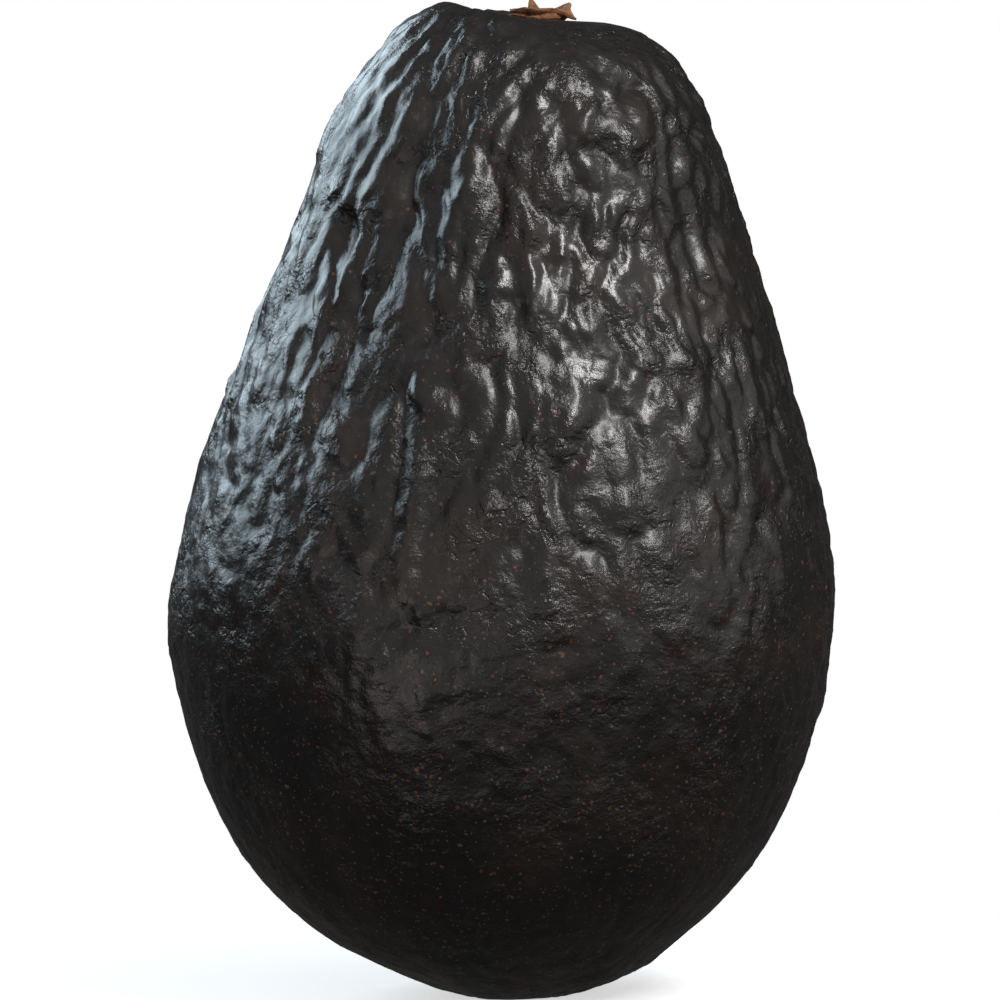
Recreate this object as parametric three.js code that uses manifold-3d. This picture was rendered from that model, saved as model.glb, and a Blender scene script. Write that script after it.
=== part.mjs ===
// A ripe avocado of the dark, pebbled kind. It stands on its blunt end, with the dried stub
// of its stalk in the hollow at the top. Millimetres, +Z up. The origin is on the surface that
// the fruit stands on, under the middle of the fruit. -Y is the side that faces the viewer.
import * as THREE from "three";
import { mergeVertices } from "three/addons/utils/BufferGeometryUtils.js";
import Module from "manifold-3d";

const wasm = await Module();
wasm.setup();

// The form of the fruit without its relief
const BELLY_RADIUS = 33.3; // half the width at the widest height
const DEPTH_SHARE = 0.97; // front to back, as a share of side to side
const HOLLOW_FLOOR = 96.95; // height of the bottom of the hollow at the top
const SOCKET_FLOOR = 96.5; // flat floor of the round socket in it, where the stub sits
const SOCKET_RADIUS = 2.5;
const OUTLINE = [
  // radius and height, from the middle of the foot up to the middle of the hollow
  [0, -1.25],
  [9.5, 1.2],
  [17.8, 5.8],
  [25.6, 13.6],
  [31.2, 25.6],
  [BELLY_RADIUS, 38.5],
  [31.4, 50.5],
  [27.4, 63.5],
  [22.65, 76.5],
  [19.1, 87.0],
  [14.8, 94.0],
  [10.4, 97.4],
  [7.0, 97.7],
  [3.6, 97.1],
  [0, HOLLOW_FLOOR],
];

// How far the neck, the crown and the foot lie to one side, and where each shift begins and ends
const SHIFTS = [
  { reach: 2.35, from: 25, to: HOLLOW_FLOOR },
  { reach: 1.75, from: 84, to: 95 },
  { reach: 1.9, from: 7, to: 0 },
];

// The shoulders are higher on the other side, and the hollow between them is level
const SHOULDER_SLOPE = -0.14;
const SHOULDER_FOOT = 80; // height at which the slope begins
const HOLLOW_RADIUS = 10;

// Ribs and pebbles of the skin, each in a pattern of its own. The mean is taken off its height.
const RIB = { width: 3.7, length: 10.5, rise: 0.8, mean: 0.3, seed: 41 };
const PEBBLE = { width: 3.0, length: 4.4, rise: 0.95, mean: 0.3, seed: 51 };
const VALLEY_SOFTNESS = 0.004; // rounds off the bottoms of the valleys between the ribs
const SWELL = { width: 17, rise: 0.45, seed: 11 }; // broad, shallow unevenness of the whole fruit
const SAG = 0.7; // how far each lump hangs down, as a share of how far it stands out

// Where the relief is faint: on the blunt end, on the flanks, and around the hollow at the top
const SMOOTHEST = 0.22; // share of it that is left on the blunt end
const ROUGHENS = { from: 24, to: 62 }; // heights between which it grows to its full strength
const FLANK_SHARE = 0.62; // share of it that is left on the flanks
const FLANK_TURN = 8; // degrees from +X and -X to the middle of each flank
const CROWN_FOOT = 90; // height above which it fades towards the hollow
const CROWN_RIBS = { from: 5, to: 15 }; // radii between which ribs and pebbles grow
const CROWN_LUMPS = { from: 4, to: 9 }; // radii between which the swell and the lumps grow

// How the ribs wander: how far apart their bends are, and how far they reach
const WANDERS = [
  { width: 11, reach: 2.6, seed: 21 },
  { width: 3.6, reach: 0.6, seed: 121 },
];

// Lumps and hollows that stand out one by one. Azimuth is in degrees round from the viewer's
// side towards +X, height is of the middle, and a negative rise is a hollow.
const LUMPS = [
  { azimuth: 10, height: 97.4, width: 5.8, length: 2.6, lean: 0, rise: -1.25 },
  { azimuth: 20, height: 88, width: 7, length: 8, lean: 0, rise: 0.9 },
  { azimuth: -16, height: 79, width: 1.3, length: 6, lean: 4, rise: 0.6 },
  { azimuth: -33, height: 73, width: 2.2, length: 17, lean: 14, rise: -0.8 },
  { azimuth: -49, height: 76, width: 1.5, length: 2.2, lean: 0, rise: -1.1 },
  { azimuth: -6, height: 78, width: 1.3, length: 8, lean: 3, rise: -0.5 },
  { azimuth: 9, height: 58.5, width: 3, length: 3, lean: 0, rise: 0.6 },
  { azimuth: 24, height: 51.5, width: 3.4, length: 4, lean: 0, rise: 0.5 },
  { azimuth: -11, height: 45, width: 3.4, length: 4.2, lean: -12, rise: -0.6 },
  { azimuth: -15, height: 43, width: 1.6, length: 4, lean: -16, rise: 0.5 },
  { azimuth: -13, height: 38.8, width: 6, length: 1.4, lean: -8, rise: -0.75 },
  { azimuth: -24, height: 38, width: 4.4, length: 3.6, lean: 10, rise: 0.85 },
  { azimuth: -19, height: 29, width: 9, length: 8, lean: 20, rise: 0.65 },
  { azimuth: -13, height: 19.5, width: 5, length: 4.5, lean: 0, rise: 0.45 },
  { azimuth: -40, height: 24, width: 4, length: 10, lean: -25, rise: -0.5 },
  { azimuth: 47, height: 66, width: 2.4, length: 13, lean: -6, rise: -0.45 },
];

// The stub of the stalk: a short neck that flares into a grooved disc with ragged arms.
// Radius and height above the floor of the socket, from the underside round to the top
const STUB_OUTLINE = [
  [0, 0],
  [1.1, 0],
  [2.1, 0],
  [2.15, 0.5],
  [2.4, 0.8],
  [2.75, 0.95],
  [2.85, 1.2],
  [2.5, 1.42],
  [2.75, 1.62],
  [2.8, 1.88],
  [2.4, 2.0],
  [1.6, 1.75],
  [0.8, 1.66],
  [0, 1.62],
];
const STUB_NECK = 2.15; // radius at which the disc begins
const STUB_DROP = 0.9; // how narrow the disc is between its arms, as a share of its radius

// The arms of the disc. Azimuth is measured as that of the lumps, spread is an arm's half width
// in degrees, reach is how far it stands out past the disc, and lift is how far its tip turns up.
// Lip is the share of the arm that the disc has below its groove too.
const STUB_ARMS = [
  { azimuth: -84, spread: 42, reach: 0.75, lift: 0.1, lip: 1 },
  { azimuth: -164, spread: 10, reach: 1.2, lift: 1.25, lip: 0 },
  { azimuth: 120, spread: 25, reach: 0.8, lift: 0.8, lip: 0 },
  { azimuth: 66, spread: 16, reach: 1.4, lift: -0.9, lip: 0 },
  { azimuth: -8, spread: 24, reach: 0.45, lift: -0.1, lip: 1 },
];
const GROOVE = { from: 1.2, to: 1.5 }; // heights of its lower and its upper edge

// How finely the meshes are divided
const FRUIT_DIVISIONS = 31; // squares along each side of the cube that is rounded into the fruit
const STUB_SIDES = 60;
const WELD = 1e-4; // points that lie nearer to each other than this are one

// The solids that are cut off the fruit reach well past it
const CUT = { width: 100, depth: 20 };

const NOISE_GAIN = 1.6; // brings the noise up to its full range
const SEED_STEP = 10; // between the seeds of the three axes of a bend

const SKIN = new THREE.MeshStandardMaterial({ color: 0x211c1b, roughness: 0.42, metalness: 0 });
const DRY_STALK = new THREE.MeshStandardMaterial({ color: 0x6b4734, roughness: 0.85, metalness: 0 });

const { smoothstep, lerp, degToRad } = THREE.MathUtils;

// A repeatable number from 0 to 1 for a point of a whole-numbered grid
function chance(i, j, k, seed) {
  let h = Math.imul(i, 0x27d4eb2f) ^ Math.imul(j, 0x165667b1) ^ Math.imul(k, 0x9e3779b1);
  h = Math.imul(h ^ Math.imul(seed, 0x85ebca6b), 0xc2b2ae35);
  h = Math.imul(h ^ (h >>> 15), 0x2c1b3c6d);
  h = Math.imul(h ^ (h >>> 12), 0x297a2d39);
  return ((h ^ (h >>> 15)) >>> 0) / 4294967296;
}

// Smooth noise, from about -1 to 1, with hills and valleys about one unit apart
function noise(x, y, z, seed) {
  const [i, j, k] = [Math.floor(x), Math.floor(y), Math.floor(z)];
  const [u, v, w] = [x - i, y - j, z - k];
  const ease = (t) => t * t * t * (t * (t * 6 - 15) + 10);
  const slope = (a, b, c) => {
    const corner = [i + a, j + b, k + c];
    const way = [0, 1, 2].map((n) => 2 * chance(...corner, seed + n) - 1);
    return way[0] * (u - a) + way[1] * (v - b) + way[2] * (w - c);
  };
  const across = (b, c) => lerp(slope(0, b, c), slope(1, b, c), ease(u));
  const layer = (c) => lerp(across(0, c), across(1, c), ease(v));
  return NOISE_GAIN * lerp(layer(0), layer(1), ease(w));
}

// Round ridges with narrow valleys between them
function rounded(x, y, z, seed) {
  return Math.sqrt(noise(x, y, z, seed) ** 2 + VALLEY_SOFTNESS);
}

// Squared distance to the nearest of scattered points, about one unit apart
function nearest(x, y, z, seed) {
  const [i, j, k] = [Math.floor(x), Math.floor(y), Math.floor(z)];
  let least = Infinity;
  for (let a = i - 1; a <= i + 1; a++)
    for (let b = j - 1; b <= j + 1; b++)
      for (let c = k - 1; c <= k + 1; c++) {
        const dx = a + chance(a, b, c, seed) - x;
        const dy = b + chance(a, b, c, seed + 1) - y;
        const dz = c + chance(a, b, c, seed + 2) - z;
        least = Math.min(least, dx * dx + dy * dy + dz * dz);
      }
  return least;
}

// A share that grows from 0 to 1 between two radii, near the hollow only
function crownShare({ from, to }, radius, height) {
  return height > CROWN_FOOT ? smoothstep(radius, from, to) : 1;
}

// How strong ribs and pebbles are: full on the front and back of the neck, none in the hollow
function roughness(azimuth, radius, height) {
  const up = lerp(SMOOTHEST, 1, smoothstep(height, ROUGHENS.from, ROUGHENS.to));
  const flank = lerp(1, FLANK_SHARE, Math.sin(azimuth - degToRad(FLANK_TURN)) ** 2);
  return up * flank * crownShare(CROWN_RIBS, radius, height);
}

// Azimuth from one direction to another, the short way round, in radians
function turnFrom(degrees, azimuth) {
  const turn = azimuth - degToRad(degrees);
  return Math.atan2(Math.sin(turn), Math.cos(turn));
}

// One lump's share of the relief
function lumpRise(lump, azimuth, radius, height) {
  const lean = degToRad(lump.lean);
  const side = turnFrom(lump.azimuth, azimuth) * radius;
  const up = height - lump.height;
  const a = (side * Math.cos(lean) - up * Math.sin(lean)) / lump.width;
  const b = (side * Math.sin(lean) + up * Math.cos(lean)) / lump.length;
  return lump.rise * Math.exp(-a * a - b * b);
}

// Ribs and pebbles at full strength, in a pattern that runs up the fruit and wanders
function grown(across, deep, height) {
  let point = [across, deep, height];
  for (const { width, reach, seed } of WANDERS) {
    const place = point.map((n) => n / width);
    point = point.map((n, axis) => n + reach * noise(...place, seed + SEED_STEP * axis));
  }
  const [x, y, z] = point;
  const ribs = rounded(x / RIB.width, y / RIB.width, z / RIB.length, RIB.seed);
  const away = nearest(x / PEBBLE.width, y / PEBBLE.width, z / PEBBLE.length, PEBBLE.seed);
  return RIB.rise * (ribs - RIB.mean) + PEBBLE.rise * (PEBBLE.mean - away);
}

// Height of the skin over the smooth form, at an azimuth in radians from -Y towards +X
function relief(azimuth, radius, height) {
  const spread = Math.sqrt(radius * BELLY_RADIUS);
  const [x, y] = [spread * Math.sin(azimuth), -spread * Math.cos(azimuth)];
  const swell = noise(x / SWELL.width, y / SWELL.width, height / SWELL.width, SWELL.seed);
  const lumps = LUMPS.reduce((sum, l) => sum + lumpRise(l, azimuth, radius, height), 0);
  const broad = crownShare(CROWN_LUMPS, radius, height) * (SWELL.rise * swell + lumps);
  return roughness(azimuth, radius, height) * grown(x, y, height) + broad;
}

// How far the fruit's middle lies to one side at a height
function shiftAt(height) {
  const share = ({ from, to }) =>
    from < to ? smoothstep(height, from, to) : smoothstep(-height, -from, -to);
  return SHIFTS.reduce((sum, shift) => sum + shift.reach * share(shift), 0);
}

// Point of the skin in a direction from the middle of the fruit
const outline = new THREE.SplineCurve(OUTLINE.map(([r, z]) => new THREE.Vector2(r, z)));
function skinPoint(direction) {
  const azimuth = Math.atan2(direction.x, -direction.y);
  const along = 1 - Math.acos(THREE.MathUtils.clamp(direction.z, -1, 1)) / Math.PI;
  const { x, y: height } = outline.getPointAt(along);
  const radius = Math.max(x, 0);
  const way = outline.getTangentAt(along);
  const rise = relief(azimuth, radius, height);
  const out = radius + rise * way.y - SAG * rise * way.x;
  const up = height - rise * way.x - SAG * rise * way.y;
  const side = out * Math.sin(azimuth);
  const inner = up > SHOULDER_FOOT ? 1 - smoothstep(out, SOCKET_RADIUS, HOLLOW_RADIUS) : 0;
  const slope = SHOULDER_SLOPE * smoothstep(up, SHOULDER_FOOT, HOLLOW_FLOOR) * (1 - inner);
  const deep = -out * Math.cos(azimuth) * DEPTH_SHARE;
  return new THREE.Vector3(side + shiftAt(up), deep, up + slope * side);
}

// A closed mesh as a solid that can be cut, and back
function solidOf(geometry) {
  const bare = geometry.clone();
  bare.deleteAttribute("normal");
  bare.deleteAttribute("uv");
  const merged = mergeVertices(bare, WELD);
  const vertProperties = new Float32Array(merged.attributes.position.array);
  const triVerts = new Uint32Array(merged.index.array);
  return new wasm.Manifold(new wasm.Mesh({ numProp: 3, vertProperties, triVerts }));
}

function geometryOf(solid) {
  const { vertProperties, triVerts } = solid.getMesh();
  const geometry = new THREE.BufferGeometry();
  geometry.setAttribute("position", new THREE.BufferAttribute(vertProperties, 3));
  geometry.setIndex(new THREE.BufferAttribute(triVerts, 1));
  geometry.computeVertexNormals();
  return geometry;
}

// The fruit: a cube rounded into a ball, each point moved to the skin, and the foot cut flat
function fruit() {
  const n = FRUIT_DIVISIONS;
  const geometry = new THREE.BoxGeometry(2, 2, 2, n, n, n);
  const position = geometry.attributes.position;
  const even = (t) => Math.tan((t * Math.PI) / 4);
  for (let i = 0; i < position.count; i++) {
    const [x, y, z] = [position.getX(i), position.getY(i), position.getZ(i)];
    const point = skinPoint(new THREE.Vector3(even(x), even(y), even(z)).normalize());
    position.setXYZ(i, point.x, point.y, point.z);
  }
  const below = new THREE.BoxGeometry(CUT.width, CUT.width, CUT.depth);
  below.translate(0, 0, -CUT.depth / 2);
  const socket = new THREE.CylinderGeometry(SOCKET_RADIUS, SOCKET_RADIUS, CUT.depth, STUB_SIDES);
  socket.rotateX(Math.PI / 2).translate(shiftAt(SOCKET_FLOOR), 0, SOCKET_FLOOR + CUT.depth / 2);
  const solid = solidOf(geometry).subtract(solidOf(below)).subtract(solidOf(socket));
  const mesh = new THREE.Mesh(geometryOf(solid), SKIN);
  mesh.name = "fruit";
  return mesh;
}

// How far the arms draw the disc out and up at an azimuth and a height
function armsAt(azimuth, height) {
  const total = { reach: 0, lift: 0 };
  const above = smoothstep(height, GROOVE.from, GROOVE.to);
  for (const arm of STUB_ARMS) {
    const turn = turnFrom(arm.azimuth, azimuth) / degToRad(arm.spread);
    const share = lerp(arm.lip, 1, above) * Math.exp(-turn * turn);
    total.reach += arm.reach * share;
    total.lift += arm.lift * share;
  }
  return total;
}

// The dried stub: a turned profile whose rim is drawn out into arms
function stalkStub() {
  const profile = STUB_OUTLINE.map(([r, z]) => new THREE.Vector2(r, z));
  const geometry = new THREE.LatheGeometry(profile, STUB_SIDES);
  geometry.rotateX(Math.PI / 2);
  const rim = Math.max(...STUB_OUTLINE.map(([r]) => r));
  const position = geometry.attributes.position;
  for (let i = 0; i < position.count; i++) {
    const [x, y, z] = [position.getX(i), position.getY(i), position.getZ(i)];
    const radius = Math.hypot(x, y);
    const share = smoothstep(radius, STUB_NECK, rim);
    const arms = armsAt(Math.atan2(x, -y), z);
    const grow = radius > 0 ? lerp(1, STUB_DROP + arms.reach / rim, share) : 1;
    position.setXYZ(i, x * grow, y * grow, z + arms.lift * share);
  }
  const mesh = new THREE.Mesh(geometry, DRY_STALK);
  mesh.name = "stalk_stub";
  mesh.position.set(shiftAt(SOCKET_FLOOR), 0, SOCKET_FLOOR);
  return mesh;
}

const avocado = new THREE.Group();
avocado.add(fruit(), stalkStub());

export default avocado;
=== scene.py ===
"""A ripe, dark avocado, dressed around its solids: pebbled skin, and the stalk's dried stub.

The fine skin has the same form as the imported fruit, worked out by the same formula and at a finer
pitch, with smaller folds on top. The fruit's own sizes are in millimetres. Its meshes, its
finishes and the studio are in metres, in the frame's axes: +Z up, with -Y towards the viewer.
"""

import logging
import math
from dataclasses import dataclass
from enum import Enum

import bpy
import numpy as np
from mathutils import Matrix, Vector

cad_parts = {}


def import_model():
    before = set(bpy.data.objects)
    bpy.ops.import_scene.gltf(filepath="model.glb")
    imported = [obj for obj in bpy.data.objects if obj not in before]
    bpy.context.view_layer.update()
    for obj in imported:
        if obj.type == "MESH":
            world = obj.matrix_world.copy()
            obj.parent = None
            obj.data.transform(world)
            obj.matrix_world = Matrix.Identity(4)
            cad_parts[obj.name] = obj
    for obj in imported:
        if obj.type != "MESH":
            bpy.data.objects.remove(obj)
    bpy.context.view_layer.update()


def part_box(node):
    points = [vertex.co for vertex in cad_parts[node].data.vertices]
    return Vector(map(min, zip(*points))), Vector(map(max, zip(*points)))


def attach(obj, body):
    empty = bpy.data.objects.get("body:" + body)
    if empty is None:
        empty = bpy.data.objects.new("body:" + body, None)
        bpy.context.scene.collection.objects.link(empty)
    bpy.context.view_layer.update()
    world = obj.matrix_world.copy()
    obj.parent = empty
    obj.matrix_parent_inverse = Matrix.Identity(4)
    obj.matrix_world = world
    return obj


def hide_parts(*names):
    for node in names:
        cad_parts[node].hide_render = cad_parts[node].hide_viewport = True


LOG = logging.getLogger("avocado")
Field = np.ndarray
Socket = bpy.types.NodeSocket
Colour = tuple[float, float, float]
Place = tuple[float, float, float]
Span = tuple[float, float]

MM = 0.001
SMOOTH_ANGLE = math.radians(60)

# The numbers that chance and noise stir with, as the solid's formula has them
WORD = 0xFFFFFFFF
SIDE_STIRS = (0x27D4EB2F, 0x165667B1, 0x9E3779B1)
SEED_STIR = 0x85EBCA6B
STIRS = ((0xC2B2AE35, 15), (0x2C1B3C6D, 12), (0x297A2D39, 15))
NOISE_GAIN = 1.6
VALLEY_ROUNDING = 0.004


class Slot(Enum):
    """The record's material slots."""

    SKIN = "skin"
    DRY_STALK = "dry_stalk"


# Numbers that vary over a surface


def smoothstep(value: Field, low: float, high: float) -> Field:
    """A soft step, from 0 at low to 1 at high."""
    t = np.clip((value - low) / (high - low), 0.0, 1.0)
    return t * t * (3.0 - 2.0 * t)


def lerp(start: Field, end: Field, share: Field) -> Field:
    """From start to end as share goes from 0 to 1."""
    return start + (end - start) * share


def turned(azimuth: Field, degrees: float) -> Field:
    """Azimuth counted from a direction in degrees, from -pi to pi."""
    turn = azimuth - math.radians(degrees)
    return np.arctan2(np.sin(turn), np.cos(turn))


def chance(i: Field, j: Field, k: Field, seed: int) -> Field:
    """A repeatable number from 0 to 1 for each point of a whole-numbered grid.

    Args:
        i: whole numbers along the first side of the grid.
        j: whole numbers along the second side.
        k: whole numbers along the third side.
        seed: which of many such grids.

    Returns:
        The numbers, in the shape of i.
    """
    word = np.uint64(WORD)

    def times(a: Field, b: int) -> Field:
        """The low 32 bits of a product."""
        return (a * np.uint64(b)) & word

    h = np.uint64((seed * SEED_STIR) & WORD)
    for side, stir in zip((i, j, k), SIDE_STIRS):
        h = h ^ times(side.astype(np.int64).astype(np.uint64) & word, stir)
    for stir, shift in STIRS:
        h = times(h, stir)
        h = h ^ (h >> np.uint64(shift))
    return h.astype(float) / (WORD + 1.0)


def noise(x: Field, y: Field, z: Field, seed: int) -> Field:
    """Smooth noise, with hills and valleys about one unit apart.

    Args:
        x: places along the first side.
        y: places along the second side.
        z: places along the third side.
        seed: which of many such noises.

    Returns:
        Values from about -1 to 1, in the shape of x.
    """
    i, j, k = np.floor(x), np.floor(y), np.floor(z)
    u, v, w = x - i, y - j, z - k

    def ease(t: Field) -> Field:
        """A step that starts and ends softly."""
        return t * t * t * (t * (t * 6.0 - 15.0) + 10.0)

    def slope(a: int, b: int, c: int) -> Field:
        """What one corner of the cell gives."""
        way = [2.0 * chance(i + a, j + b, k + c, seed + n) - 1.0 for n in range(3)]
        return way[0] * (u - a) + way[1] * (v - b) + way[2] * (w - c)

    def layer(c: int) -> Field:
        """One face of the cell."""
        across = [lerp(slope(0, b, c), slope(1, b, c), ease(u)) for b in (0, 1)]
        return lerp(across[0], across[1], ease(v))

    return NOISE_GAIN * lerp(layer(0), layer(1), ease(w))


def rounded(x: Field, y: Field, z: Field, seed: int) -> Field:
    """Round ridges with narrow valleys between them, from 0 in a valley to about 0.8."""
    return np.sqrt(noise(x, y, z, seed) ** 2 + VALLEY_ROUNDING)


def nearest(x: Field, y: Field, z: Field, seed: int) -> Field:
    """How near scattered points are, which lie about one unit apart.

    Args:
        x: places along the first side.
        y: places along the second side.
        z: places along the third side.
        seed: which of many such scatters.

    Returns:
        The squared distance to the nearest of the points, in the shape of x.
    """
    i, j, k = np.floor(x), np.floor(y), np.floor(z)
    least = np.full(x.shape, np.inf)
    around = (-1, 0, 1)
    for a, b, c in ((a, b, c) for a in around for b in around for c in around):
        cell = (i + a, j + b, k + c)
        point = [cell[n] + chance(*cell, seed + n) for n in range(3)]
        away = (point[0] - x) ** 2 + (point[1] - y) ** 2 + (point[2] - z) ** 2
        least = np.minimum(least, away)
    return least


# The form of the fruit


@dataclass(frozen=True)
class Lump:
    """A lump or hollow of the skin that stands out by itself.

    Azimuth is in degrees round from the viewer's side towards +X, height is of its middle, and
    a negative rise is a hollow.
    """

    azimuth: float
    height: float
    width: float
    length: float
    lean: float
    rise: float

    def over(self, azimuth: Field, radius: Field, height: Field) -> Field:
        """How far it raises the skin.

        Args:
            azimuth: of each point, in radians.
            radius: how far each point is from the fruit's axis.
            height: of each point.

        Returns:
            The rise at each point.
        """
        lean = math.radians(self.lean)
        side, up = turned(azimuth, self.azimuth) * radius, height - self.height
        a = (side * math.cos(lean) - up * math.sin(lean)) / self.width
        b = (side * math.sin(lean) + up * math.cos(lean)) / self.length
        return self.rise * np.exp(-a * a - b * b)


@dataclass(frozen=True)
class Wander:
    """How a pattern is bent: how far apart its bends are, and how far they reach."""

    width: float
    reach: float
    seed: int


@dataclass(frozen=True)
class Pattern:
    """A pattern of the skin: how wide and long its cells are, and how high they stand."""

    width: float
    length: float
    rise: float
    mean: float
    seed: int

    def place(self, x: Field, y: Field, z: Field) -> tuple[Field, Field, Field, int]:
        """A point in cells of the pattern, and the pattern's seed."""
        return x / self.width, y / self.width, z / self.length, self.seed

    def ridges(self, x: Field, y: Field, z: Field) -> Field:
        """Height of round ridges of this pattern."""
        return self.rise * (rounded(*self.place(x, y, z)) - self.mean)

    def domes(self, x: Field, y: Field, z: Field) -> Field:
        """Height of domes of this pattern."""
        return self.rise * (self.mean - nearest(*self.place(x, y, z)))

    def swells(self, x: Field, y: Field, z: Field) -> Field:
        """Height of soft hills and valleys of this pattern."""
        return self.rise * (noise(*self.place(x, y, z)) - self.mean)


@dataclass(frozen=True)
class Form:
    """The fruit's form and coarse relief, as its solid has them, in millimetres.

    A span is the height or radius where a change starts, and the one where it ends.
    """

    belly_radius: float = 33.3
    depth_share: float = 0.97
    socket_floor: float = 96.5
    socket_span: Span = (2.2, 2.8)
    hollow_floor: float = 96.95
    hollow_span: Span = (2.5, 10.0)
    shoulder_foot: float = 80.0
    shoulder_slope: float = -0.14
    neck_shift: float = 2.35
    neck_foot: float = 25.0
    crown_shift: float = 1.75
    crown_shift_span: Span = (84.0, 95.0)
    foot_shift: float = 1.9
    foot_height: float = 7.0
    crown_foot: float = 90.0
    crown_pattern_span: Span = (5.0, 15.0)
    crown_lump_span: Span = (4.0, 9.0)
    rough_span: Span = (24.0, 62.0)
    smoothest: float = 0.22
    flank_strength: float = 0.62
    flank_turn: float = 8.0
    sag: float = 0.7
    outline_samples: int = 12001
    ribs: Pattern = Pattern(3.7, 10.5, 0.8, 0.3, 41)
    pebbles: Pattern = Pattern(3.0, 4.4, 0.95, 0.3, 51)
    swell: Pattern = Pattern(17.0, 17.0, 0.45, 0.0, 11)
    wanders: tuple[Wander, ...] = (
        Wander(11.0, 2.6, 21),
        Wander(3.6, 0.6, 121),
        Wander(1.5, 0.3, 221),
    )
    lumps: tuple[Lump, ...] = (
        Lump(10, 97.4, 5.8, 2.6, 0, -1.25),
        Lump(20, 88, 7, 8, 0, 0.9),
        Lump(-16, 79, 1.3, 6, 4, 0.6),
        Lump(-33, 73, 2.2, 17, 14, -0.8),
        Lump(-49, 76, 1.5, 2.2, 0, -1.1),
        Lump(-6, 78, 1.3, 8, 3, -0.5),
        Lump(9, 58.5, 3, 3, 0, 0.6),
        Lump(24, 51.5, 3.4, 4, 0, 0.5),
        Lump(-11, 45, 3.4, 4.2, -12, -0.6),
        Lump(-15, 43, 1.6, 4, -16, 0.5),
        Lump(-13, 38.8, 6, 1.4, -8, -0.75),
        Lump(-24, 38, 4.4, 3.6, 10, 0.85),
        Lump(-19, 29, 9, 8, 20, 0.65),
        Lump(-13, 19.5, 5, 4.5, 0, 0.45),
        Lump(-40, 24, 4, 10, -25, -0.5),
        Lump(47, 66, 2.4, 13, -6, -0.45),
    )
    stations: tuple[Span, ...] = (
        (0, -1.25),
        (9.5, 1.2),
        (17.8, 5.8),
        (25.6, 13.6),
        (31.2, 25.6),
        (33.3, 38.5),
        (31.4, 50.5),
        (27.4, 63.5),
        (22.65, 76.5),
        (19.1, 87.0),
        (14.8, 94.0),
        (10.4, 97.4),
        (7.0, 97.7),
        (3.6, 97.1),
        (0, 96.95),
    )

    def outline(self, along: Field) -> tuple[Field, ...]:
        """Points of the outline, a smooth curve through the stations of radius and height.

        Args:
            along: share of the outline's length, from 0 at the foot to 1 in the hollow.

        Returns:
            Radius, height, and the outline's direction there in radius and in height.
        """
        points = np.array(self.stations)
        last = len(points) - 1
        fine = np.linspace(0.0, last, self.outline_samples)
        i = np.minimum(fine.astype(int), last - 1)
        t = (fine - i)[:, None]
        start, end = points[i], points[i + 1]
        leave = (end - points[np.maximum(i - 1, 0)]) / 2
        arrive = (points[np.minimum(i + 2, last)] - start) / 2
        cubic = 2 * start - 2 * end + leave + arrive
        square = 3 * end - 3 * start - 2 * leave - arrive
        line = cubic * t**3 + square * t**2 + leave * t + start
        gone = np.concatenate([[0.0], np.cumsum(np.hypot(*np.diff(line, axis=0).T))])
        way = np.gradient(line, axis=0)
        way /= np.linalg.norm(way, axis=1)[:, None]
        return tuple(np.interp(along, gone / gone[-1], n) for n in (*line.T, *way.T))

    def spread(self, azimuth: Field, radius: Field, height: Field) -> list[Field]:
        """A point of the surface, drawn outwards where the fruit is thin."""
        spread = np.sqrt(radius * self.belly_radius)
        return [spread * np.sin(azimuth), -spread * np.cos(azimuth), height]

    def lattice(self, azimuth: Field, radius: Field, height: Field) -> tuple[Field, ...]:
        """Where a point lies in the pattern of the skin, which runs up the fruit and wanders.

        Args:
            azimuth: of each point, in radians.
            radius: how far each point is from the fruit's axis.
            height: of each point.

        Returns:
            The three coordinates in the pattern.
        """
        point = self.spread(azimuth, radius, height)
        for wander in self.wanders:
            place = [n / wander.width for n in point]
            bend = [noise(*place, wander.seed + 10 * n) for n in range(3)]
            point = [n + wander.reach * b for n, b in zip(point, bend)]
        return tuple(point)

    def crown(self, radius: Field, height: Field, span: Span) -> Field:
        """How much relief the crown lets through, from 0 near the stalk to 1."""
        return np.where(height > self.crown_foot, smoothstep(radius, *span), 1.0)

    def roughness(self, azimuth: Field, radius: Field, height: Field) -> Field:
        """How strong the relief is.

        Args:
            azimuth: of each point, in radians.
            radius: how far each point is from the fruit's axis.
            height: of each point.

        Returns:
            Shares, near 1 on the neck's front and back, lower on its flanks and on the blunt
            end, and 0 near the stalk.
        """
        up = lerp(self.smoothest, 1.0, smoothstep(height, *self.rough_span))
        turn = azimuth - math.radians(self.flank_turn)
        flank = lerp(1.0, self.flank_strength, np.sin(turn) ** 2)
        return up * flank * self.crown(radius, height, self.crown_pattern_span)

    def grown(self, azimuth: Field, radius: Field, height: Field) -> Field:
        """The ribs and pebbles, at full strength."""
        point = self.lattice(azimuth, radius, height)
        return self.ribs.ridges(*point) + self.pebbles.domes(*point)

    def relief(self, azimuth: Field, radius: Field, height: Field) -> Field:
        """Height of the skin over the smooth form, as the solid has it.

        Args:
            azimuth: of each point, in radians.
            radius: how far each point is from the fruit's axis.
            height: of each point.

        Returns:
            The height of each point.
        """
        swell = self.swell.swells(*self.spread(azimuth, radius, height))
        lumps = sum(lump.over(azimuth, radius, height) for lump in self.lumps)
        crown = self.crown(radius, height, self.crown_lump_span)
        grown = self.roughness(azimuth, radius, height) * self.grown(azimuth, radius, height)
        return grown + crown * (swell + lumps)

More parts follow.
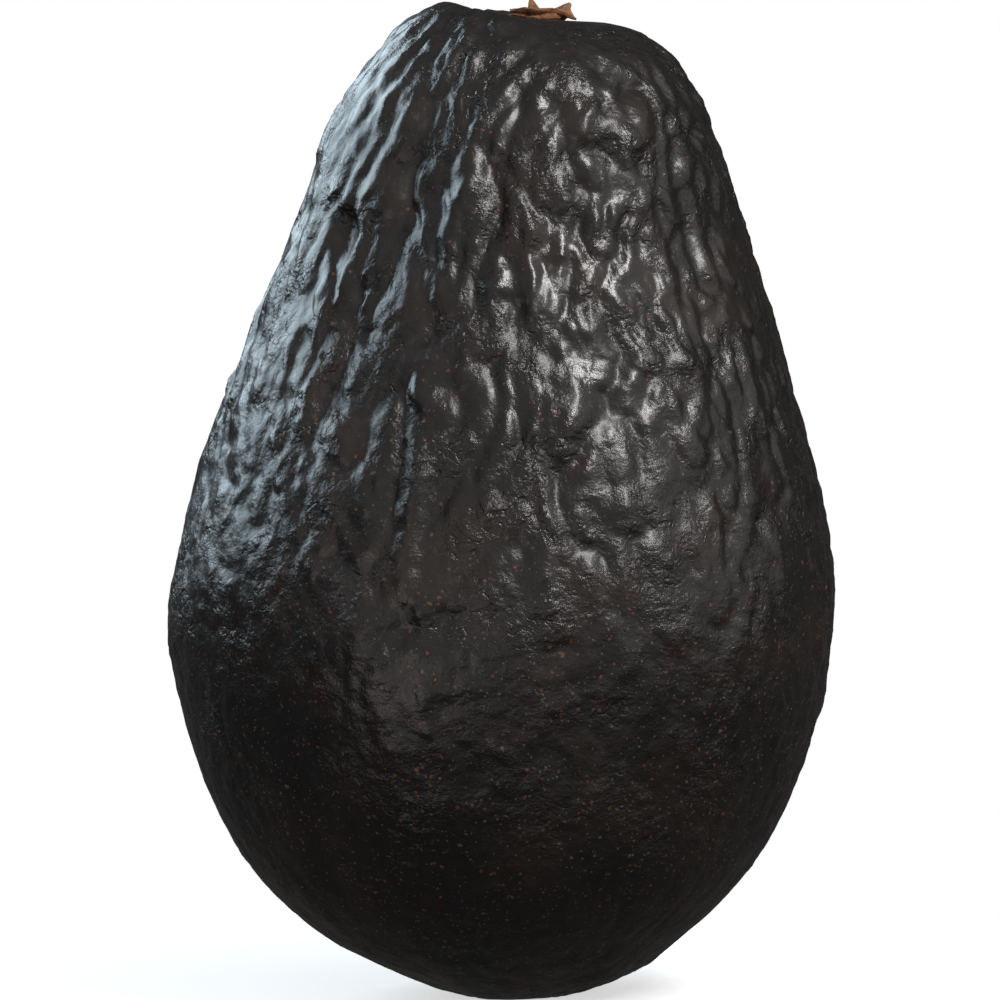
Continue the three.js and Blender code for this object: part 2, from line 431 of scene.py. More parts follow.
    def shifted(self, azimuth: Field, radius: Field, out: Field, up: Field,
                inside: Field) -> Field:
        """The places of points of the skin, with the lean of the fruit and the slope of its rim.

        Args:
            azimuth: of each point, in radians.
            radius: how far each point of the smooth form is from the axis.
            out: how far each point is from the axis with its relief.
            up: the height of each point with its relief.
            inside: which points are high enough to be in the socket if they are near the axis.

        Returns:
            The places, one a row.
        """
        hollow = 1.0 - smoothstep(out, *self.hollow_span)
        inner = np.where(up > self.shoulder_foot, hollow, 0.0)
        lean = self.neck_shift * smoothstep(up, self.neck_foot, self.hollow_floor)
        lean = lean + self.crown_shift * smoothstep(up, *self.crown_shift_span)
        lean = lean + self.foot_shift * smoothstep(-up, -self.foot_height, 0.0)
        x = out * np.sin(azimuth)
        shoulder = smoothstep(up, self.shoulder_foot, self.hollow_floor)
        tilt = self.shoulder_slope * x * shoulder * (1.0 - inner)
        socket = np.where(inside, smoothstep(radius, *self.socket_span), 1.0)
        z = self.socket_floor + (up + tilt - self.socket_floor) * socket
        return np.stack([x + lean, -out * np.cos(azimuth) * self.depth_share, z], axis=1)


# Pieces


def mesh_points(piece: bpy.types.Object) -> Field:
    """The points of a piece's mesh.

    Args:
        piece: the piece.

    Returns:
        The points, one a row.
    """
    points = np.empty(len(piece.data.vertices) * 3)
    piece.data.vertices.foreach_get("co", points)
    return points.reshape(-1, 3)


def move_points(piece: bpy.types.Object, places: Field) -> None:
    """Moves a mesh's points to places in millimetres."""
    piece.data.vertices.foreach_set("co", (places * MM).ravel())
    piece.data.update()


@dataclass
class Skin:
    """The fruit's skin: a cube rounded into a ball, each point of it moved to its place."""

    form: Form
    coarse: int = 30
    fine: int = 3
    beads: Pattern = Pattern(2.2, 2.9, 0.45, 0.3, 55)
    folds: Pattern = Pattern(2.1, 1.6, 0.27, 0.75, 61)
    crinkles: Pattern = Pattern(1.0, 0.95, 0.15, 0.75, 71)
    patches: Pattern = Pattern(7.0, 9.0, 1.0, 0.0, 81)
    patch_span: Span = (-0.3, 0.6)
    tip_pull: float = 0.8
    least_folds: float = 0.55
    least_crinkles: float = 0.2
    crown_span: Span = (5.0, 13.0)
    foot_span: Span = (4.0, 30.0)
    foot_share: float = 0.5
    tip_step: float = 0.8
    tip_span: Span = (0.05, 0.4)
    valley_depth: float = 0.45
    cut_threshold: float = 1e-7

    def ball(self) -> bpy.types.Object:
        """A cube, divided into small squares.

        Returns:
            The cube, named as the finished piece is.
        """
        bpy.ops.object.select_all(action="DESELECT")
        bpy.ops.mesh.primitive_cube_add(size=2.0)
        ball = bpy.context.object
        ball.name = "skin"
        bpy.ops.object.mode_set(mode="EDIT")
        for cuts in (self.coarse, self.fine):
            bpy.ops.mesh.select_all(action="SELECT")
            bpy.ops.mesh.subdivide(number_cuts=cuts)
        bpy.ops.object.mode_set(mode="OBJECT")
        return ball

    def fine_relief(self, azimuth: Field, radius: Field, height: Field, tip: Field) -> Field:
        """The beads, folds and crinkles that are too small for the solid.

        Args:
            azimuth: of each point, in radians.
            radius: how far each point is from the fruit's axis.
            height: of each point.
            tip: how far each point is on the steep lower side of a lump, from 0 to 1.

        Returns:
            Their height at each point.
        """
        point = self.form.lattice(azimuth, radius, height)
        beads = self.beads.domes(*point) * self.form.roughness(azimuth, radius, height)
        patch = smoothstep(self.patches.swells(*point) + self.tip_pull * tip, *self.patch_span)
        folds = lerp(self.least_folds, 1.0, patch) * self.folds.ridges(*point)
        crinkles = lerp(self.least_crinkles, 1.0, patch) * self.crinkles.ridges(*point)
        low = lerp(self.foot_share, 1.0, smoothstep(height, *self.foot_span))
        crown = self.form.crown(radius, height, self.crown_span)
        return crown * (beads + low * (folds + crinkles))

    def place(self, direction: Field) -> tuple[Field, Field, Field]:
        """Where each point of the ball goes.

        Args:
            direction: unit vectors from the middle of the ball, one a row.

        Returns:
            The places in millimetres, how deep in a valley each is, and how far each is on
            the steep lower side of a lump, both from 0 to 1.
        """
        form = self.form
        azimuth = np.arctan2(direction[:, 0], -direction[:, 1])
        along = 1.0 - np.arccos(np.clip(direction[:, 2], -1.0, 1.0)) / math.pi
        radius, height, way_out, way_up = form.outline(along)
        radius = np.maximum(radius, 0.0)
        rise = form.relief(azimuth, radius, height)
        above = form.relief(azimuth, radius, height + self.tip_step)
        tip = smoothstep(above - rise, *self.tip_span)
        # How deep each point lies in a valley: the finish paints shade there and dulls the wax.
        valley = smoothstep(-form.grown(azimuth, radius, height), 0.0, self.valley_depth)
        sag = form.sag * rise
        rise = rise + self.fine_relief(azimuth, radius, height, tip)
        out = radius + rise * way_up - sag * way_out
        up = height - rise * way_out - sag * way_up
        places = form.shifted(azimuth, radius, out, up, height > form.shoulder_foot)
        return places, valley, tip

    def build(self) -> bpy.types.Object:
        """The skin as a finished mesh, inside the solid's box, with its foot cut flat.

        Returns:
            The piece.
        """
        skin = self.ball()
        points = np.tan(mesh_points(skin) * math.pi / 4)
        points /= np.linalg.norm(points, axis=1)[:, None]
        places, valley, tip = self.place(points)
        low, high = (np.array(corner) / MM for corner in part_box("fruit"))
        low[2] = -np.inf
        move_points(skin, np.clip(places, low, high))
        for name, values in (("valley", valley), ("tip", tip)):
            attribute = skin.data.attributes.new(name, "FLOAT", "POINT")
            attribute.data.foreach_set("value", values)
        bpy.ops.object.mode_set(mode="EDIT")
        bpy.ops.mesh.select_all(action="SELECT")
        bpy.ops.mesh.bisect(
            plane_co=(0, 0, 0), plane_no=(0, 0, 1), use_fill=True, clear_inner=True,
            threshold=self.cut_threshold
        )
        bpy.ops.object.mode_set(mode="OBJECT")
        bpy.ops.object.shade_smooth_by_angle(angle=SMOOTH_ANGLE)
        return skin


@dataclass(frozen=True)
class Arm:
    """An arm of the stub's disc.

    Azimuth is measured as that of the lumps, spread is the arm's half width in degrees, reach
    is how far it stands out past the disc, and lift is how far its tip turns up. Lip is the
    share of the arm that the disc has below its groove too.
    """

    azimuth: float
    spread: float
    reach: float
    lift: float
    lip: float

    def share(self, azimuth: Field, above: Field) -> Field:
        """How much of the arm there is at each azimuth, from 0 to 1.

        Args:
            azimuth: in radians.
            above: 0 below the disc's groove, and 1 above it.

        Returns:
            The shares.
        """
        turn = turned(azimuth, self.azimuth) / math.radians(self.spread)
        return lerp(self.lip, 1.0, above) * np.exp(-(turn**2))


@dataclass(frozen=True)
class Fray:
    """Torn fibres of the stub.

    The first three say how fast they change round the stub, upwards and outwards. Reach is how
    far they stand out, as a share of the radius, and lift is how far they stand up.
    """

    around: float
    upwards: float
    outwards: float
    reach: float
    lift: float
    seed: int

    def over(self, azimuth: Field, radius: Field, height: Field) -> Field:
        """How far each point is moved, from about -1 to 1.

        Args:
            azimuth: of each point, in radians.
            radius: how far each point is from the stub's axis.
            height: of each point.

        Returns:
            The shares.
        """
        place = (azimuth * self.around, height * self.upwards, radius * self.outwards)
        return noise(*place, self.seed)


@dataclass
class StalkStub:
    """The dried stub of the stalk: a short neck that flares into a grooved disc with arms."""

    form: Form
    sides: int = 160
    rings: int = 52
    disc_span: Span = (2.15, 2.85)
    disc_share: float = 0.9
    groove_span: Span = (1.2, 1.5)
    frayed_radii: Span = (1.1, 2.6)
    frayed_heights: Span = (0.3, 1.0)
    frays: tuple[Fray, ...] = (
        Fray(5.0, 0.6, 0.4, 0.05, 0.05, 91),
        Fray(2.2, 2.0, 0.5, 0.06, 0.10, 95),
    )
    arms: tuple[Arm, ...] = (
        Arm(-84, 42, 0.75, 0.1, 1),
        Arm(-164, 10, 1.2, 1.25, 0),
        Arm(120, 25, 0.8, 0.8, 0),
        Arm(66, 16, 1.4, -0.9, 0),
        Arm(-8, 24, 0.45, -0.1, 1),
    )
    outline: tuple[Span, ...] = (
        (1.1, 0),
        (2.1, 0),
        (2.15, 0.5),
        (2.4, 0.8),
        (2.75, 0.95),
        (2.85, 1.2),
        (2.5, 1.42),
        (2.75, 1.62),
        (2.8, 1.88),
        (2.4, 2.0),
        (1.6, 1.75),
        (0.8, 1.66),
    )

    def tube(self) -> bpy.types.Object:
        """A tube of rings, one above the other, closed at its end.

        Returns:
            The tube, named as the finished piece is.
        """
        bpy.ops.object.select_all(action="DESELECT")
        bpy.ops.mesh.primitive_circle_add(vertices=self.sides, radius=1.0, fill_type="NOTHING")
        stub = bpy.context.object
        stub.name = "dried_stub"
        bpy.ops.object.mode_set(mode="EDIT")
        bpy.ops.mesh.select_all(action="SELECT")
        for _ in range(self.rings):
            bpy.ops.mesh.extrude_region_move(TRANSFORM_OT_translate={"value": (0, 0, 1)})
        bpy.ops.mesh.edge_face_add()
        bpy.ops.object.mode_set(mode="OBJECT")
        return stub

    def place(self, points: Field) -> Field:
        """Where each point of the tube goes, in millimetres.

        Args:
            points: the tube's points, one a row. Their height is the number of their ring.

        Returns:
            The places.
        """
        azimuth = np.arctan2(points[:, 0], -points[:, 1])
        stations = np.array(self.outline)
        along = np.round(points[:, 2]) / self.rings * (len(stations) - 1)
        radius, height = (np.interp(along, range(len(stations)), n) for n in stations.T)
        disc = smoothstep(radius, *self.disc_span)
        above = smoothstep(height, *self.groove_span)
        reach = sum(arm.reach * arm.share(azimuth, above) for arm in self.arms)
        lift = sum(arm.lift * arm.share(azimuth, above) for arm in self.arms)
        grow = 1 + disc * (self.disc_share + reach / self.disc_span[1] - 1)
        torn = [fray.over(azimuth, radius, height) for fray in self.frays]
        torn_out = sum(fray.reach * n for fray, n in zip(self.frays, torn))
        torn_up = sum(fray.lift * n for fray, n in zip(self.frays, torn))
        loose = smoothstep(radius, *self.frayed_radii) * smoothstep(height, *self.frayed_heights)
        radius = radius * (grow + loose * torn_out)
        height = height + lift * disc + loose * torn_up
        x = radius * np.sin(azimuth) + self.form.neck_shift + self.form.crown_shift
        return np.stack([x, -radius * np.cos(azimuth), height + self.form.socket_floor], axis=1)

    def build(self) -> bpy.types.Object:
        """The stub as a finished mesh, inside the solid's box.

        Returns:
            The piece.
        """
        stub = self.tube()
        low, high = (np.array(corner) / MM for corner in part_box("stalk_stub"))
        move_points(stub, np.clip(self.place(mesh_points(stub)), low, high))
        bpy.ops.object.mode_set(mode="EDIT")
        bpy.ops.mesh.select_all(action="SELECT")
        bpy.ops.mesh.fill_holes(sides=0)
        bpy.ops.mesh.normals_make_consistent(inside=False)
        bpy.ops.object.mode_set(mode="OBJECT")
        bpy.ops.object.shade_smooth_by_angle(angle=SMOOTH_ANGLE)
        return stub


# Materials


@dataclass(frozen=True)
class Ramp:
    """A soft step of a value, from start at low to end at high."""

    low: float
    high: float
    start: float = 0.0
    end: float = 1.0


@dataclass(frozen=True)
class Grain:
    """A noise of a finish: how fine it is, how many finer ones it holds, and their strength."""

    scale: float
    detail: float = 2.0
    roughness: float = 0.5


@dataclass(frozen=True)
class Pores:
    """A layer of pores: how close they lie, how wide they are, and how many there are by height."""

    scale: float
    size: float
    share: Ramp


class Shader:
    """A material's or group's nodes, added and joined by short calls."""

    def __init__(self, tree: bpy.types.NodeTree) -> None:
        """Writes into a node tree."""
        self.tree = tree

    def join(self, value: object, socket: Socket) -> None:
        """Sets a socket to a number or colour, or links an output to it.

        Args:
            value: the number, colour or output.
            socket: the input that takes it.
        """
        if isinstance(value, Socket):
            self.tree.links.new(value, socket)
        else:
            socket.default_value = value

    def node(self, kind: str, inputs: dict | None = None, **settings: object) -> bpy.types.Node:
        """Adds a node.

        Args:
            kind: the node's type, without the words ShaderNode.
            inputs: values or outputs for its sockets, by name or number.
            settings: its own properties.

        Returns:
            The node.
        """
        node = self.tree.nodes.new("ShaderNode" + kind)
        for name, value in settings.items():
            setattr(node, name, value)
        for name, value in (inputs or {}).items():
            self.join(value, node.inputs[name])
        return node

    def math(self, operation: str, *values: object) -> Socket:
        """The result of a Math node."""
        inputs = dict(enumerate(values))
        return self.node("Math", inputs, operation=operation).outputs[0]

    def between(self, value: object, ramp: Ramp) -> Socket:
        """A soft step of a value."""
        inputs = {"Value": value, 1: ramp.low, 2: ramp.high, 3: ramp.start, 4: ramp.end}
        return self.node("MapRange", inputs, interpolation_type="SMOOTHSTEP").outputs[0]

    def mix(self, share: object, a: object, b: object) -> Socket:
        """A colour between two others."""
        return self.node("Mix", {0: share, 6: a, 7: b}, data_type="RGBA").outputs[2]

    def texture(self, vector: object, grain: Grain) -> bpy.types.Node:
        """A noise texture."""
        inputs = {"Vector": vector, "Scale": grain.scale, "Detail": grain.detail}
        return self.node("TexNoise", {**inputs, "Roughness": grain.roughness})

    def noise(self, vector: object, grain: Grain) -> Socket:
        """The value of a noise texture."""
        return self.texture(vector, grain).outputs["Fac"]


def rgba(colour: Colour) -> tuple[float, float, float, float]:
    """A colour with full alpha."""
    return (*colour, 1.0)


def new_material(name: str) -> tuple[bpy.types.Material, Shader, bpy.types.Node]:
    """A material, a pen for its nodes, and its shader.

    Args:
        name: what the material is called.

    Returns:
        The three.
    """
    material = bpy.data.materials.new(name)
    material.use_nodes = True
    shader = material.node_tree.nodes["Principled BSDF"]
    return material, Shader(material.node_tree), shader


@dataclass(frozen=True)
class Specks:
    """Scattered round specks, each with a number of its own, as a group for a material."""

    sizes: Ramp = Ramp(0.0, 1.0, 0.5, 1.0)
    edge: Ramp = Ramp(0.55, 1.0, 1.0, 0.0)

    def group(self) -> bpy.types.NodeTree:
        """Builds the group, whose inputs are a place, a fineness, a size and a share.

        Returns:
            The group, which puts out the specks' mask and a number for each speck.
        """
        group = bpy.data.node_groups.new("specks", "ShaderNodeTree")
        kinds = {"Vector": "Vector", "Scale": "Float", "Size": "Float", "Share": "Float"}
        for name, kind in kinds.items():
            group.interface.new_socket(name, in_out="INPUT", socket_type="NodeSocket" + kind)
        for name in ("Mask", "Draw"):
            group.interface.new_socket(name, in_out="OUTPUT", socket_type="NodeSocketFloat")
        pen = Shader(group)
        entry = group.nodes.new("NodeGroupInput").outputs
        leave = group.nodes.new("NodeGroupOutput").inputs
        cells = pen.node("TexVoronoi", {"Vector": entry["Vector"], "Scale": entry["Scale"]})
        draws = pen.node("SeparateColor", {"Color": cells.outputs["Color"]}).outputs
        chosen = pen.math("LESS_THAN", draws[0], entry["Share"])
        size = pen.math("MULTIPLY", entry["Size"], pen.between(draws[1], self.sizes))
        inside = pen.math("DIVIDE", cells.outputs["Distance"], size)
        pen.join(pen.math("MULTIPLY", pen.between(inside, self.edge), chosen), leave["Mask"])
        pen.join(draws[2], leave["Draw"])
        return group


@dataclass(frozen=True)
class SkinMarks:
    """Outputs of nodes that the skin's colour, gloss and relief share."""

    place: Socket
    flat: Socket
    height: Socket
    valley: Socket
    pale: Socket
    rust: Socket
    draw: Socket
    broken: Socket
    cracks: Socket
    ring: Socket


@dataclass(frozen=True)
class SkinFinish:
    """Near-black, waxy skin, browner low down, with pale and rusty pores, and painted shade in its
    valleys and cracks.
    """

    specks: bpy.types.NodeTree

    dark: Colour = (0.0095, 0.0088, 0.0086)
    brown: Colour = (0.019, 0.0145, 0.0125)
    # The valley colour is painted shade: a darker colour laid into the skin's valleys and cracks.
    valley: Colour = (0.0075, 0.0062, 0.006)
    blush: Colour = (0.035, 0.009, 0.007)
    pale_pore: Colour = (0.105, 0.10, 0.088)
    rust_pore: Colour = (0.125, 0.037, 0.025)
    amber_pore: Colour = (0.13, 0.075, 0.03)
    cork: Colour = (0.16, 0.125, 0.10)

    tones: Grain = Grain(90, 3)
    browned: Ramp = Ramp(0.42, 0.66)
    # How strongly the valleys are darkened with painted shade.
    valley_shade_share: float = 0.7
    blushes: Grain = Grain(210, 3)
    blushed: Ramp = Ramp(0.60, 0.76)
    blush_share: float = 0.2
    blush_low: float = 0.4
    low_down: Ramp = Ramp(0.030, 0.062, 1.0, 0.0)

    jitter: Grain = Grain(2600, 1)
    jitter_reach: float = 0.0004
    pale: Pores = Pores(1800, 0.24, Ramp(0.03, 0.075, 0.9, 0.35))
    pale_strength: Ramp = Ramp(0.03, 0.08, 0.8, 0.4)
    rust: Pores = Pores(1250, 0.27, Ramp(0.02, 0.075, 0.8, 0.16))
    amber: Ramp = Ramp(0.6, 0.8)

    squash: Place = (1.0, 1.0, 1.15)
    patches: Grain = Grain(170)
    patched: Ramp = Ramp(0.44, 0.66)
    tip_pull: float = 0.15
    waves: Grain = Grain(520)
    crack: Ramp = Ramp(0.0, 0.06, 1.0, 0.0)
    gaps: Grain = Grain(800, 1)
    gapped: Ramp = Ramp(0.42, 0.58)
    crack_strength: Ramp = Ramp(0.02, 0.06, 0.4, 1.0)
    # How strongly the cracks are darkened with painted shade, in the valley colour.
    crack_shade_share: float = 0.3

    stalk: Place = (0.0041, 0.0, 0.0968)
    ring_rags: Grain = Grain(900, 3)
    ring_rag: float = 0.0026
    ring_edge: Ramp = Ramp(0.0038, 0.0050, 0.9, 0.0)

    wax: Grain = Grain(260, 4, 0.6)
    waxed: Ramp = Ramp(0.3, 0.7, 0.21, 0.36)
    pore_roughness: float = 0.08
    valley_roughness: float = 0.12
    ring_roughness: float = 0.3
    coat: float = 0.2
    coat_roughness: float = 0.2

    grains: Grain = Grain(1500)
    grain_rise: float = 0.05
    ruffles: Grain = Grain(560, 5, 0.6)
    ruffle_rise: float = 0.56
    ruffle_broken: float = 0.55
    ruffle_least: Ramp = Ramp(0.045, 0.075, 0.45, 0.22)
    crack_rise: float = -0.10
    pore_rise: float = 0.012
    relief_height: float = 0.0010

    def layer(self, pen: Shader, vector: Socket, height: Socket, pores: Pores) -> bpy.types.Node:
        """One layer of pores.

        Args:
            pen: writes into the material.
            vector: where each point lies.
            height: of each point.
            pores: the layer's sizes.

        Returns:
            The group's node, with the pores' mask and a number for each.
        """
        share = pen.between(height, pores.share)
        inputs = {"Vector": vector, "Scale": pores.scale, "Size": pores.size, "Share": share}
        return pen.node("Group", inputs, node_tree=self.specks)

    def ring(self, pen: Shader, place: Socket) -> Socket:
        """Where the skin turns to cork, in a ragged ring around the stalk.

        Args:
            pen: writes into the material.
            place: where each point lies.

        Returns:
            The mask of the ring.
        """
        apart = pen.node("VectorMath", {0: place, 1: self.stalk}, operation="DISTANCE")
        rags = pen.noise(place, self.ring_rags)
        ragged = pen.math("MULTIPLY_ADD", rags, self.ring_rag, -self.ring_rag / 2)
        away = pen.math("ADD", apart.outputs["Value"], ragged)
        return pen.between(away, self.ring_edge)

    def cracks(self, pen: Shader, place: Socket, flat: Socket, height: Socket,
               broken: Socket) -> Socket:
        """Fine, broken cracks.

        Args:
            pen: writes into the material.
            place: where each point lies.
            flat: the same, with the pattern a little flattened.
            height: of each point.
            broken: how broken up the skin is.

        Returns:
            The mask of the cracks.
        """
        waves = pen.math("SUBTRACT", pen.noise(flat, self.waves), 0.5)
        cracks = pen.between(pen.math("ABSOLUTE", waves), self.crack)
        gaps = pen.between(pen.noise(place, self.gaps), self.gapped)
        cracks = pen.math("MULTIPLY", pen.math("MULTIPLY", cracks, gaps), broken)
        return pen.math("MULTIPLY", cracks, pen.between(height, self.crack_strength))

    def marks(self, pen: Shader) -> SkinMarks:
        """What the colour, the gloss and the relief share.

        Args:
            pen: writes into the material.

        Returns:
            The outputs of the nodes.
        """
        place = pen.node("TexCoord").outputs["Object"]
        height = pen.node("SeparateXYZ", {0: place}).outputs["Z"]
        valley, tip = (
            pen.node("Attribute", attribute_name=name).outputs["Fac"] for name in ("valley", "tip")
        )
        flat = pen.node("VectorMath", {0: place, 1: self.squash}, operation="MULTIPLY").outputs[0]
        jitter = pen.texture(place, self.jitter).outputs["Color"]
        shaken = pen.node("VectorMath", {0: jitter, 3: self.jitter_reach}, operation="SCALE")
        shaken = pen.node("VectorMath", {0: place, 1: shaken.outputs[0]}).outputs[0]
        pale = self.layer(pen, shaken, height, self.pale).outputs["Mask"]
        rust = self.layer(pen, shaken, height, self.rust).outputs
        patch = pen.math("MULTIPLY_ADD", tip, self.tip_pull, pen.noise(place, self.patches))
        broken = pen.between(patch, self.patched)
        return SkinMarks(
            place=place,
            flat=flat,
            height=height,
            valley=valley,
            pale=pen.math("MULTIPLY", pale, pen.between(height, self.pale_strength)),
            rust=rust["Mask"],
            draw=rust["Draw"],
            broken=broken,
            cracks=self.cracks(pen, place, flat, height, broken),
            ring=self.ring(pen, place),
        )

    def colour(self, pen: Shader, marks: SkinMarks) -> Socket:
        """The skin's colour, with painted shade that darkens its valleys and cracks.

        Args:
            pen: writes into the material.
            marks: what the skin's parts share.

        Returns:
            The colour.
        """
        tones = pen.between(pen.noise(marks.place, self.tones), self.browned)
        colour = pen.mix(tones, rgba(self.dark), rgba(self.brown))
        # Painted shade: the skin darkens towards the valley colour where it lies deep in a valley.
        valley = pen.math("MULTIPLY", marks.valley, self.valley_shade_share)
        colour = pen.mix(valley, colour, rgba(self.valley))
        low = pen.between(marks.height, self.low_down)
        low = pen.math("MULTIPLY_ADD", low, self.blush_low, self.blush_share)
        blush = pen.between(pen.noise(marks.place, self.blushes), self.blushed)
        colour = pen.mix(pen.math("MULTIPLY", blush, low), colour, rgba(self.blush))
        colour = pen.mix(marks.pale, colour, rgba(self.pale_pore))
        amber = pen.between(marks.draw, self.amber)
        hue = pen.mix(amber, rgba(self.rust_pore), rgba(self.amber_pore))
        colour = pen.mix(marks.rust, colour, hue)
        # Painted shade: the cracks darken towards the valley colour.
        cracks = pen.math("MULTIPLY", marks.cracks, self.crack_shade_share)
        colour = pen.mix(cracks, colour, rgba(self.valley))
        return pen.mix(marks.ring, colour, rgba(self.cork))

    def roughness(self, pen: Shader, marks: SkinMarks) -> Socket:
        """How dull the wax is.

        Args:
            pen: writes into the material.
            marks: what the skin's parts share.

        Returns:
            The roughness.
        """
        rough = pen.between(pen.noise(marks.place, self.wax), self.waxed)
        rough = pen.math("MULTIPLY_ADD", marks.pale, self.pore_roughness, rough)
        rough = pen.math("MULTIPLY_ADD", marks.valley, self.valley_roughness, rough)
        return pen.math("MULTIPLY_ADD", marks.ring, self.ring_roughness, rough)

    def relief(self, pen: Shader, marks: SkinMarks) -> Socket:
        """The relief that is too fine for the mesh.

        Args:
            pen: writes into the material.
            marks: what the skin's parts share.

        Returns:
            The height, in shares of relief_height.
        """
        relief = pen.math("MULTIPLY", pen.noise(marks.place, self.grains), self.grain_rise)
        least = pen.between(marks.height, self.ruffle_least)
        strength = pen.math("MULTIPLY_ADD", marks.broken, self.ruffle_broken, least)
        ruffles = pen.math("MULTIPLY", pen.noise(marks.flat, self.ruffles), strength)
        relief = pen.math("MULTIPLY_ADD", ruffles, self.ruffle_rise, relief)
        relief = pen.math("MULTIPLY_ADD", marks.cracks, self.crack_rise, relief)
        pores = pen.math("ADD", marks.pale, marks.rust)
        return pen.math("MULTIPLY_ADD", pores, self.pore_rise, relief)

    def material(self) -> bpy.types.Material:
        """Builds the material.

        Returns:
            The material, which follows the piece's own coordinates.
        """
        material, pen, shader = new_material("skin_finish")
        marks = self.marks(pen)
        pen.join(self.colour(pen, marks), shader.inputs["Base Color"])
        pen.join(self.roughness(pen, marks), shader.inputs["Roughness"])
        relief = {"Height": self.relief(pen, marks), "Distance": self.relief_height}
        bump = pen.node("Bump", {**relief, "Strength": 1.0})
        pen.join(bump.outputs[0], shader.inputs["Normal"])
        shader.inputs["Coat Weight"].default_value = self.coat
        shader.inputs["Coat Roughness"].default_value = self.coat_roughness
        return material


@dataclass(frozen=True)
class StubFinish:
    """Dry brown wood, mottled, with painted shade in the hollows of its bump and paler where its
    bump stands highest.
    """

    # dark is the wood's darkest tone, laid where the bump is low, so it is partly painted shade.
    dark: Colour = (0.10, 0.036, 0.018)
    mid: Colour = (0.27, 0.115, 0.05)
    pale: Colour = (0.33, 0.21, 0.095)
    mottle: Grain = Grain(900, 5, 0.65)
    browned: Ramp = Ramp(0.36, 0.52)
    paled: Ramp = Ramp(0.55, 0.70)
    roughness: float = 0.8
    relief_height: float = 0.0004

    def material(self) -> bpy.types.Material:
        """Builds the material.

        Returns:
            The material, which follows the piece's own coordinates.
        """
        material, pen, shader = new_material("stub_finish")
        mottle = pen.noise(pen.node("TexCoord").outputs["Object"], self.mottle)
        # The mottle sets both the colour and the bump: where the bump is low the wood is painted
        # darker as shade, where it is high it is paler.
        colour = pen.mix(pen.between(mottle, self.browned), rgba(self.dark), rgba(self.mid))
        colour = pen.mix(pen.between(mottle, self.paled), colour, rgba(self.pale))
        pen.join(colour, shader.inputs["Base Color"])
        shader.inputs["Roughness"].default_value = self.roughness
        relief = {"Height": mottle, "Distance": self.relief_height}
        bump = pen.node("Bump", {**relief, "Strength": 1.0})
        pen.join(bump.outputs[0], shader.inputs["Normal"])
        return material


# Studio


@dataclass(frozen=True)
class Softbox:
    """An area light that shines at the middle of the fruit."""

    name: str
    place: Place
    size: Span
    power: float
    colour: Colour

    def build(self, aim: Vector) -> None:
        """Adds the light.

        Args:
            aim: the point that it shines at.
        """
        light = bpy.data.lights.new(self.name, "AREA")
        light.shape = "RECTANGLE"
        light.size, light.size_y = self.size
        light.energy = self.power
        light.color = self.colour
        lamp = bpy.data.objects.new(self.name, light)
        lamp.location = self.place
        lamp.rotation_euler = (Vector(self.place) - aim).to_track_quat("Z", "Y").to_euler()
        lamp.visible_camera = False
        bpy.context.scene.collection.objects.link(lamp)


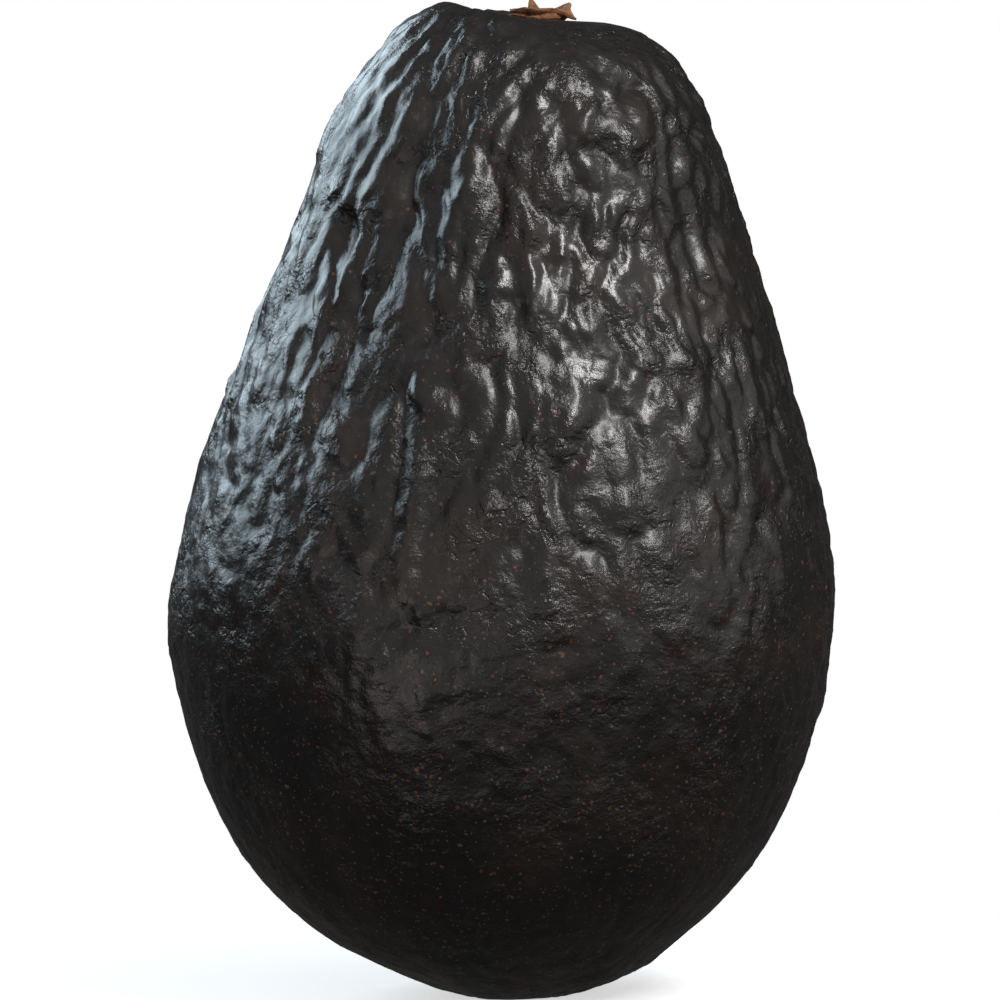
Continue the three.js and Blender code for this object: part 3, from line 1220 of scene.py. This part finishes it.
@dataclass
class Studio:
    """The floor, the light and the camera."""

    aim: Vector
    lens: float = 200.0
    sensor: float = 36.0
    away: float = 0.5556
    elevation: float = 3.0
    floor_radius: float = 1.2
    floor_sides: int = 96
    floor_fade: Ramp = Ramp(0.03, 0.08, 1.0, 0.0)
    floor_colour: Colour = (0.9, 0.9, 0.9)
    floor_roughness: float = 0.9
    floor_glow: float = 0.6
    white: Colour = (1.0, 1.0, 1.0)
    glow: Place = (0.2, -0.71, 0.67)
    glow_strength: Ramp = Ramp(-0.1, 0.95, 0.06, 0.42)
    glow_colour: Colour = (1.0, 0.96, 0.94)
    softboxes: tuple[Softbox, ...] = (
        Softbox("window", (-0.72, 0.53, 0.52), (1.02, 0.48), 7.3, (0.72, 0.89, 1.0)),
        Softbox("key", (0.48, -0.53, 0.84), (0.15, 0.44), 7.2, (1.0, 0.985, 0.97)),
        Softbox("side", (1.0, -0.35, 0.45), (1.3, 1.2), 2.0, (1.0, 0.99, 0.97)),
        Softbox("fill", (-0.5, -0.8, -0.15), (0.6, 0.4), 0.9, (1.0, 0.90, 0.86)),
    )

    def floor(self) -> None:
        """A pale, round floor that fades into the pale room."""
        bpy.ops.object.select_all(action="DESELECT")
        bpy.ops.mesh.primitive_circle_add(
            vertices=self.floor_sides, radius=self.floor_radius, fill_type="NGON"
        )
        floor = bpy.context.object
        floor.name = "floor"
        material, pen, shader = new_material("floor_finish")
        place = pen.node("TexCoord").outputs["Object"]
        away = pen.node("VectorMath", {0: place}, operation="LENGTH").outputs["Value"]
        pen.join(pen.between(away, self.floor_fade), shader.inputs["Alpha"])
        shader.inputs["Base Color"].default_value = rgba(self.floor_colour)
        shader.inputs["Roughness"].default_value = self.floor_roughness
        shader.inputs["Emission Color"].default_value = rgba(self.white)
        shader.inputs["Emission Strength"].default_value = self.floor_glow
        floor.data.materials.append(material)
        floor.visible_diffuse = False
        floor.visible_glossy = False
        floor.visible_shadow = False

    def room(self) -> None:
        """White to the eye. To the skin it is dim, with a soft glow above the viewer."""
        world = bpy.data.worlds.new("room")
        world.use_nodes = True
        pen = Shader(world.node_tree)
        seen = world.node_tree.nodes["Background"]
        seen.inputs["Color"].default_value = rgba(self.white)
        way = pen.node("TexCoord").outputs["Generated"]
        toward = pen.node("VectorMath", {0: way, 1: self.glow}, operation="DOT_PRODUCT")
        strength = pen.between(toward.outputs["Value"], self.glow_strength)
        dim = pen.node("Background", {"Color": rgba(self.glow_colour), "Strength": strength})
        path = pen.node("LightPath")
        mixed = pen.node("MixShader", {0: path.outputs["Is Camera Ray"]})
        pen.join(dim.outputs[0], mixed.inputs[1])
        pen.join(seen.outputs[0], mixed.inputs[2])
        pen.join(mixed.outputs[0], world.node_tree.nodes["World Output"].inputs[0])
        bpy.context.scene.world = world

    def camera(self) -> None:
        """A long lens, a little above the middle of the fruit."""
        data = bpy.data.cameras.new("camera")
        data.lens = self.lens
        data.sensor_width = self.sensor
        camera = bpy.data.objects.new("camera", data)
        tilt = math.radians(self.elevation)
        back = Vector((0.0, -math.cos(tilt), math.sin(tilt)))
        camera.location = self.aim + back * self.away
        camera.rotation_euler = back.to_track_quat("Z", "Y").to_euler()
        bpy.context.scene.collection.objects.link(camera)
        bpy.context.scene.camera = camera

    def build(self) -> None:
        """Sets up the room."""
        self.floor()
        self.room()
        self.camera()
        for softbox in self.softboxes:
            softbox.build(self.aim)
        bpy.context.scene.view_settings.view_transform = "Standard"


def dress(piece: bpy.types.Object, material: bpy.types.Material, node: str) -> None:
    """Gives a piece its material and its place in the frame, and logs it.

    Args:
        piece: the finished mesh.
        material: its finish.
        node: the solid that it takes the place of.
    """
    piece.data.materials.clear()
    piece.data.materials.append(material)
    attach(piece, "root")
    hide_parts(node)
    LOG.info("%s: %d faces", piece.name, len(piece.data.polygons))


def main() -> None:
    """Builds the fruit, the stub and the studio, and logs the pieces' face counts."""
    logging.basicConfig(level=logging.INFO, format="%(name)s: %(message)s")
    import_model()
    form = Form()
    skin = Skin(form).build()
    dress(skin, SkinFinish(Specks().group()).material(), "fruit")
    stub = StalkStub(form).build()
    dress(stub, StubFinish().material(), "stalk_stub")
    Studio(aim=Vector((0.0, 0.0, 0.0495))).build()


if __name__ == "__main__":
    main()
